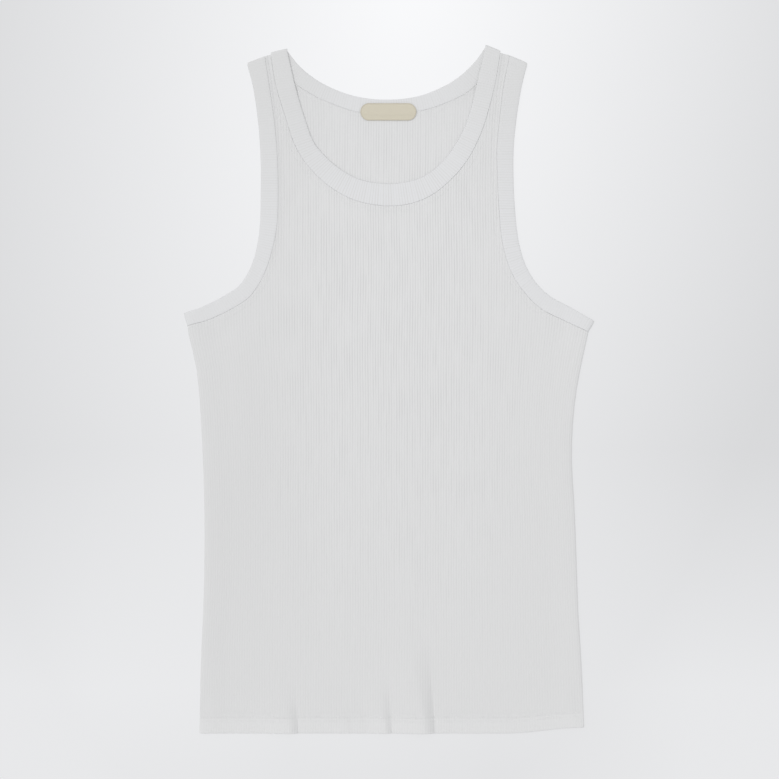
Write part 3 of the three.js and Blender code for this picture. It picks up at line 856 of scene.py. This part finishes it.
def knit_material(name, crest, groove, relief, strap_shade, hem_rows):
    """Rib knit. On the map called weave, one unit across is a rib and one up is as long. Each rib
    is a column of V-shaped stitches, and the grooves between carry painted shade, in patches.
    Painted shade also greys the cloth towards the hem, at its edges and on the straps. It is weaker
    on the first rows of a hem, where the cloth lies double, so that they are lighter."""
    material, tree, shader = new_material(name, knit_finish)
    weave = add_node(tree, "UVMap", {}, uv_map="weave").outputs["UV"]
    rib, up, _ = parts_of(tree, weave)
    off = calc(tree, "ABSOLUTE", calc(tree, "SUBTRACT", calc(tree, "FRACT", rib), 0.5))
    off = product(tree, off, 2.0)
    in_groove = calc(tree, "POWER", off, groove_power)
    slanted = calc(tree, "SUBTRACT", up, product(tree, off, legs_slant))
    legs = calc(tree, "COSINE", product(tree, slanted, math.tau / stitch_course))
    ridges = calc(tree, "SUBTRACT", product(tree, legs, leg_depth), in_groove)
    place = object_place(tree)
    height = calc(tree, "ADD", ridges, noise_on(tree, place, **fuzz))
    add_relief(tree, shader, height, relief, knit_relief)
    x, y, _ = parts_of(tree, place)
    axes = dict(X=x, Y=y, aside=calc(tree, "ABSOLUTE", x))

    def shades_of(rows):
        return [map_range(tree, axes[axis], *limits) for axis, *limits in rows]

    # Painted shade in the grooves, in patches and rib by rib, clearest on the middle of the chest.
    above_hem, below_straps, left, right = shades_of(groove_shades)
    groove_shade_strength = product(tree, calc(tree, "MINIMUM", above_hem, below_straps), left, right)
    stretched = add_node(tree, "Mapping", {"Vector": weave, "Scale": stripe_stretch}).outputs["Vector"]
    rib_by_rib = map_range(tree, noise_on(tree, stretched, **stripes), *stripe_range)
    painted_groove_shade = product(tree, noise_on(tree, place, **groove_shade_patches), groove_shade_strength, rib_by_rib, in_groove)
    # Painted shade on the cloth: towards the hem, at the sides and on the straps, and weaker where the hem
    # lies double.
    above_hem, left, right, up_sides, straps, beside_neck = shades_of(cloth_shades)
    sides = product(tree, calc(tree, "ADD", left, right), up_sides)
    straps = product(tree, straps, strap_shade, beside_neck)
    plain = calc(tree, "ADD", calc(tree, "ADD", above_hem, sides), straps)
    layers = map_range(tree, up, hem_rows - layer_blend, hem_rows + layer_blend, *layer_shades)
    shade = calc(tree, "ADD", painted_groove_shade, product(tree, layers, plain))
    # The colour goes from that of the crests towards that of the grooves with the painted shade.
    add_colour(tree, shader, shade, crest, groove)
    return material


# The crest colour is the cloth's white; the groove colour is where the painted shade takes it.
rib_knit = knit_material(
    "rib_knit",
    crest=(0.82, 0.82, 0.82),
    groove=(0.70, 0.70, 0.70),
    relief=0.35,
    strap_shade=0.22,
    hem_rows=hem_deep / rib_pitch,
)
lines_beside_seam = (0.0002, 0.0006, 0.0023, 0.0038, 0.0056)
front, front_area = panel_mesh("front_panel", neck_front, lines_beside_seam, front_place, True)
front.data.materials.append(rib_knit)
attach(front, "root")
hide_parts("front_body")

# Back panel: the same rib knit, cut with a higher, shallower neck and hemmed in the same way. It
# lies flat on the surface, and its inside shows through the neck of the front.
neck_back = [
    neck_front[-1],
    *rows_of(
        "at seam edge",
        ("under the front", (0.0985, 0.6610), (0.0852, 0.6712)),
        ("slope", (0.0803, 0.6430), (0.0687, 0.6561)),
        ("slope", (0.0600, 0.6320), (0.0525, 0.6464)),
        ("beside the label", (0.0320, 0.6229), (0.0290, 0.6375)),
        ("middle", (-0.0007, 0.6200), (-0.0007, 0.6341)),
        ("beside the label", (-0.0320, 0.6218), (-0.0300, 0.6367)),
        ("slope", (-0.0597, 0.6310), (-0.0546, 0.6445)),
        ("slope", (-0.0800, 0.6406), (-0.0732, 0.6543)),
        ("under the front", (-0.1015, 0.6565), (-0.0898, 0.6676)),
    ),
    neck_front[0],
]
back_seams = tree_of_seams(neck_back, armhole_left_of_view, armhole_right_of_view)
back_seam_rise = 0.0007  # the back rises to the middle of a band where it is sewn on
back_seam_reach = 0.006


def back_outer(x, up, rib):
    """The height of the back's outer face, which is below, and which way inside is. Its ribs stand
    on the surface that the tank lies on."""
    apart = back_seams.find((x, up, 0))[2]
    groove = rib_rise * (1 - rib_profile(rib))
    return groove + back_seam_rise * (1 - smooth(apart / back_seam_reach)), 1


def back_seam_level(x, up, shoulder_turn):
    return front_seam_level(x, up, shoulder_turn) - 2 * side_gap


def back_place(rib, along):
    return panel_place(rib, along, back_outer, back_seam_level)


back_lines = (0.0006, 0.0023, 0.0040)
back, back_area = panel_mesh("back_panel", neck_back, back_lines, back_place, False)
back.data.materials.append(rib_knit)
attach(back, "root")
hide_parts("back_body")

# Neck band: a strip of the same cotton rib, folded in half along its length and sewn all round the
# neck as one ring. Its own ribs run across it, and its folded edge is the free one.
fold_steps = 16  # sections on the half round of a fold
sections_in_rib = 4
band_relief = 0.00005
relief_fades = 1.5  # the ribs fade out towards the middle of a band's thickness
band_wave = dict(size=55.0, high=0.00012)
neck_droop = 0.0013
neck_seed = 3.1
droop_clear = {"from": 0.633, "over": 0.016}  # above this the back's band lies under the front's
# One half of a band's cross-section, from the seam to the free edge: how far in from the nearer
# end or as a share of the width, and the height as a share of half the thickness.
seam_end = ((0.00004, 0.0), (0.00006, 0.50), (0.00018, 0.80), (0.0006, 0.93))
middle = ((0.18, 0.96), (0.40, 0.93), (0.65, 0.84))
free_end = ((0.0034, 0.76), (0.0018, 0.64), (0.0008, 0.48), (0.00025, 0.29), (0.0, 0.0))


def band_frames(front_table, back_table, edge_droop):
    """The ring of a band, as places of its seam and free edge in space, with the way out of it. The
    front's free edge droops by so much where only the back panel lies under it."""
    frames = []

    def front_middle(point):
        return front_band_under + band / 2 + loft_at(point.x, point.y)

    def lay_run(table, outward, level, droop):
        for seam, edge in band_lines(table):
            ends = [in_space(point.x, point.y, level(point)) for point in (seam, edge)]
            ends[1].z -= droop * (1 - smooth((edge.y - droop_clear["from"]) / droop_clear["over"]))
            frames.append((*ends, outward))

    def lay_fold(row, from_front):
        out = fold_direction(row)
        round_size = fold_round(row)
        seam, edge = Vector(row["seam"]), Vector(row["edge"])
        high = front_middle(seam - out * round_size)
        level = (high + band / 2) / 2
        for step in range(1, fold_steps):
            turn = step / fold_steps * math.pi
            rise = math.cos(turn) * (1 if from_front else -1)
            reach = math.sin(turn)
            places = []
            for point in (seam, edge):
                flat = point + out * ((round_size - band / 2) * reach - round_size)
                places.append(in_space(flat.x, flat.y, level + rise * (high - level)))
            outward = Vector((out.x * reach, out.y * reach, rise)).normalized()
            frames.append((*places, outward))

    lay_run(front_table, Vector((0, 0, 1)), front_middle, edge_droop)
    lay_fold(front_table[-1], True)
    lay_run(back_table, Vector((0, 0, -1)), lambda point: band / 2, 0.0)
    lay_fold(back_table[-1], False)
    return frames


def runs_along(line):
    """How far along a line each of its points lies."""
    return np.cumsum([0.0, *((b - a).length for a, b in zip(line, line[1:]))])


def evenly_spaced(frames):
    """The same ring with a whole number of ribs round it, and the length of the ring."""
    ring = [*frames, frames[0]]
    runs = runs_along([(seam + edge) / 2 for seam, edge, _ in ring])
    ribs = round(runs[-1] / rib_pitch)
    spaced = []
    for i in range(ribs * sections_in_rib):
        run = runs[-1] * i / (ribs * sections_in_rib)
        k = int(np.searchsorted(runs, run, side="right")) - 1
        t = (run - runs[k]) / (runs[k + 1] - runs[k])
        spaced.append([a.lerp(b, t) for a, b in zip(ring[k], ring[k + 1])])
    return spaced, runs[-1]


def face_outwards(piece):
    """The same piece, a closed mesh, with its faces pointing out."""
    bpy.context.view_layer.objects.active = piece
    bpy.ops.object.mode_set(mode="EDIT")
    bpy.ops.mesh.select_all(action="SELECT")
    bpy.ops.mesh.normals_make_consistent(inside=False)
    bpy.ops.object.mode_set(mode="OBJECT")
    return piece


def grid_faces(rows, count, closed):
    """The faces between rows of so many points. If closed, both ways run round to the start."""
    faces = []
    for i in range(rows if closed else rows - 1):
        here, there = i * count, (i + 1) % rows * count
        for k in range(count if closed else count - 1):
            onward = (k + 1) % count
            faces.append((here + k, there + k, there + onward, here + onward))
    return faces


def band_piece(name, front_table, back_table, edge_droop, seed):
    """A folded band as a closed ring, and the length of the ring."""
    frames, around = evenly_spaced(band_frames(front_table, back_table, edge_droop))
    points = []
    for i, (seam, edge, outward) in enumerate(frames):
        across = edge - seam
        wide = across.length
        across.normalize()
        outward = (outward - across * outward.dot(across)).normalized()
        upper = [*seam_end, *((share * wide, b) for share, b in middle)]
        upper += [(wide - a, b) for a, b in free_end]
        profile = upper + [(a, -b) for a, b in upper[-2:0:-1]]
        wave = noise.noise(seam * band_wave["size"] + Vector((0, 0, seed))) * band_wave["high"]
        relief = band_relief * math.cos(math.tau * i / sections_in_rib)
        for a, b in profile:
            ridge = relief * min(1.0, abs(b) * relief_fades)
            rise = b * (band / 2 - band_relief) + math.copysign(ridge, b) * (b != 0)
            points.append(seam + across * (a + wave * a / wide) + outward * rise)
    count = len(profile)
    mesh = smooth_mesh(name, points, grid_faces(len(frames), count, True))
    weave = mesh.uv_layers.new(name="weave")
    point_up = 2 * (frames[0][1] - frames[0][0]).length / rib_pitch / count
    for face in mesh.polygons:
        section, step = divmod(face.index, count)
        for loop, (ahead, onward) in zip(face.loop_indices, ((0, 0), (1, 0), (1, 1), (0, 1))):
            place = ((section + ahead) / sections_in_rib, (step + onward) * point_up)
            weave.data[loop].uv = place
    return face_outwards(add_object(name, mesh)), around


# The bands carry painted shade in their grooves and, more strongly, on the straps.
band_knit = knit_material(
    "band_knit",
    crest=(0.815, 0.818, 0.831),
    groove=(0.735, 0.735, 0.73),
    relief=0.22,
    strap_shade=0.45,
    hem_rows=0,
)
neck, neck_around = band_piece("neck_binding", neck_front, neck_back, neck_droop, neck_seed)
neck.data.materials.append(band_knit)
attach(neck, "root")
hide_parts("neck_band")

# Armhole bands: two more folded strips, each sewn as a ring from the shoulder down to the underarm
# and back up behind.
armholes = (
    ("armhole_binding_right", "armhole_band_right", armhole_left_of_view, 5.3),
    ("armhole_binding_left", "armhole_band_left", armhole_right_of_view, 7.9),
)
for name, node, table, seed in armholes:
    piece, around = band_piece(name, table, table[::-1], 0.0, seed)
    piece.data.materials.append(band_knit)
    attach(piece, "root")
    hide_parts(node)

# Stitches: two rows of white cotton thread beside every seam of a band, which hold its turned edges
# down, and two rows through the hem. Each stitch is a short round of thread with both ends sunk.
thread = 0.00034
thread_proud = 0.00005
stitch_long = 0.0025
stitch_space = 0.0031
thread_sides = 5
# The rings of points of one stitch: the share of its length, its size, and how far it is sunk.
thread_rings = ((0.0, 0.45, -0.7), (0.2, 1.0, 0.0), (0.8, 1.0, 0.0), (1.0, 0.45, -0.7))
upward = Vector((0, 0, 1))
plies = {"Scale": 900, "Distortion": 1.5}
ply_relief = (0.4, 0.00005)  # its strength and its depth

# Twisted thread: slanting plies and a faint gloss.
thread_finish = {"Base Color": (0.81, 0.81, 0.81, 1), "Roughness": 0.6, "Sheen Weight": 0.2}
white_thread, tree, shader = new_material("white_thread", thread_finish)
sockets = {"Vector": object_place(tree), **plies}
twist = add_node(tree, "TexWave", sockets, bands_direction="DIAGONAL")
add_relief(tree, shader, twist.outputs["Fac"], *ply_relief)


def sew(name, stitches):
    """Many stitches as one piece. Each is given by the places of its two ends on the cloth."""
    points, faces = [], []
    for ends in stitches:
        start, end = (place + upward * thread_proud for place in ends)
        side = (end - start).normalized().cross(upward).normalized()
        first = len(points)
        for share, size, sink in thread_rings:
            centre = start.lerp(end, share) + upward * (thread / 2) * sink
            for k in range(thread_sides):
                turn = math.tau * k / thread_sides
                spoke = side * math.cos(turn) + upward * math.sin(turn)
                points.append(centre + spoke * (thread / 2) * size)
        last = len(points) - thread_sides
        for here in range(first, last, thread_sides):
            there = here + thread_sides
            for k in range(thread_sides):
                onward = (k + 1) % thread_sides
                faces.append((here + k, here + onward, there + onward, there + k))
        faces.append(tuple(first + k for k in reversed(range(thread_sides))))
        faces.append(tuple(last + k for k in range(thread_sides)))
    mesh = smooth_mesh(name, points, faces)
    mesh.materials.append(white_thread)
    return face_outwards(add_object(name, mesh))


def spread_along(line, space, long):
    """Pairs of places along a line, one pair for each stitch."""
    runs = runs_along(line)
    xs, ys = [point.x for point in line], [point.y for point in line]
    pairs = []
    for i in range(int(runs[-1] / space)):
        ends = [i * space + (space - long) / 2, i * space + (space + long) / 2]
        pairs.append([Vector((np.interp(run, runs, xs), np.interp(run, runs, ys))) for run in ends])
    return pairs


outer_face, inner_face = 0, 1


def sew_seam(name, table, place, face, rows, space, long):
    """The rows of stitches beside a seam, on the outer face of a panel or on its inner one."""
    stitches = []
    for apart in rows:
        for pair in spread_along(seam_line(table, apart, 0.0), space, long):
            stitches.append([place(rib_at(point.x, point.y), point.y)[face] for point in pair])
    return sew(name, stitches)


sewn_rows = []
seams_to_sew = (
    ("neck_stitches", neck_front),
    ("armhole_stitches_right", armhole_left_of_view),
    ("armhole_stitches_left", armhole_right_of_view),
)
for name, table in seams_to_sew:
    sewn_rows.append(sew_seam(name, table, front_place, outer_face, stitch_rows, stitch_space, stitch_long))

stitches = []
reach = last_rib - 1
count = round(2 * reach * rib_pitch / stitch_space)
half_stitch = stitch_long / rib_pitch / 2
for up in hem_stitch_rows:
    for i in range(count):
        rib = -reach + 2 * reach * (i + 0.5) / count
        ribs = (rib - half_stitch, rib + half_stitch)
        stitches.append([front_place(rib, up)[outer_face] for rib in ribs])
sewn_rows.append(sew("hem_stitches", stitches))

# Inside the back of the neck the same two rows show from below, as small close stitches.
inside_rows = dict(rows=(0.0008, 0.0044), space=0.0016, long=0.0013)
sewn_rows.append(sew_seam("neck_inside_stitches", neck_back, back_place, inner_face, **inside_rows))
for piece in sewn_rows:
    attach(piece, "root")

# Label: a small cream woven label with round ends, bare, sewn to the inside of the back neck. Its
# upper half lies on the neck band, and a satin edge runs round it.
label_long = 0.056
label_high = 0.017
label_round = label_high / 2
label_middle = (-0.0007, 0.6218)
label_thick = 0.0007
label_lift = 0.0002
label_bend = 0.004
label_rim = dict(wide=0.0011, high=0.00022)
label_tip = 0.0006  # half its height at the very ends
map_units = 1000  # its maps are in millimetres
label_columns = 72
label_rows = 26
back_neck_seam = seam_line(neck_back, 0.0, 0.0)


def label_under(x, up):
    """The height of what the label lies on: the back's inside, and above its seam the band."""
    near = min(back_neck_seam, key=lambda point: abs(point.x - x))
    over = smooth((up - near.y + label_bend) / label_bend)
    low = shell + rib_rise + label_lift
    return low + (band + label_lift - low) * over


points, spots = [], []
for i in range(label_columns + 1):
    along = -math.cos(math.pi * i / label_columns) * label_long / 2
    past = max(0.0, abs(along) - (label_long / 2 - label_round))
    half = max(label_tip, math.sqrt(max(0.0, label_round * label_round - past * past)))
    for k in range(label_rows + 1):
        across = -math.cos(math.pi * k / label_rows) * half
        x, up = label_middle[0] + along, label_middle[1] + across
        from_edge = label_round - math.hypot(past, across)
        rim = label_rim["high"] * (1 - smooth(from_edge / label_rim["wide"]))
        points.append(in_space(x, up, label_under(x, up) + label_thick + rim))
        spots.append((along, across, from_edge))
mesh = smooth_mesh("woven_label", points, grid_faces(label_columns + 1, label_rows + 1, False))
for name in ("weave", "edge"):
    mesh.uv_layers.new(name=name)
weave, edges = mesh.uv_layers["weave"].data, mesh.uv_layers["edge"].data
for loop in mesh.loops:
    along, across, from_edge = (part * map_units for part in spots[loop.vertex_index])
    weave[loop.index].uv = (along, across)
    edges[loop.index].uv = (from_edge, 0.0)
label = add_object("woven_label", mesh)
wall = label.modifiers.new("wall", "SOLIDIFY")
wall.thickness = label_thick
wall.offset = -1
bpy.context.view_layer.objects.active = label
bpy.ops.object.modifier_apply(modifier=wall.name)

label_face = (0.73, 0.68, 0.55)
label_rim_colour = (0.66, 0.61, 0.49)
threads_in_mm = 3.0
warp_depth = 0.6  # as a share of the twill's
label_relief = (0.5, 0.0001)  # its strength and its depth
material, tree, shader = new_material("label_weave", {"Roughness": 0.6, "Sheen Weight": 0.2})
along, across, _ = parts_of(tree, add_node(tree, "UVMap", {}, uv_map="weave").outputs["UV"])
turns = math.tau * threads_in_mm
twill = calc(tree, "COSINE", product(tree, calc(tree, "ADD", along, across), turns / 2))
warp = calc(tree, "COSINE", product(tree, along, turns))
height = calc(tree, "ADD", twill, product(tree, warp, warp_depth))
add_relief(tree, shader, height, *label_relief)
from_edge, *_ = parts_of(tree, add_node(tree, "UVMap", {}, uv_map="edge").outputs["UV"])
on_rim = calc(tree, "LESS_THAN", from_edge, label_rim["wide"] * map_units)
add_colour(tree, shader, on_rim, label_face, label_rim_colour)
label.data.materials.append(material)
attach(label, "root")
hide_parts("neck_label")
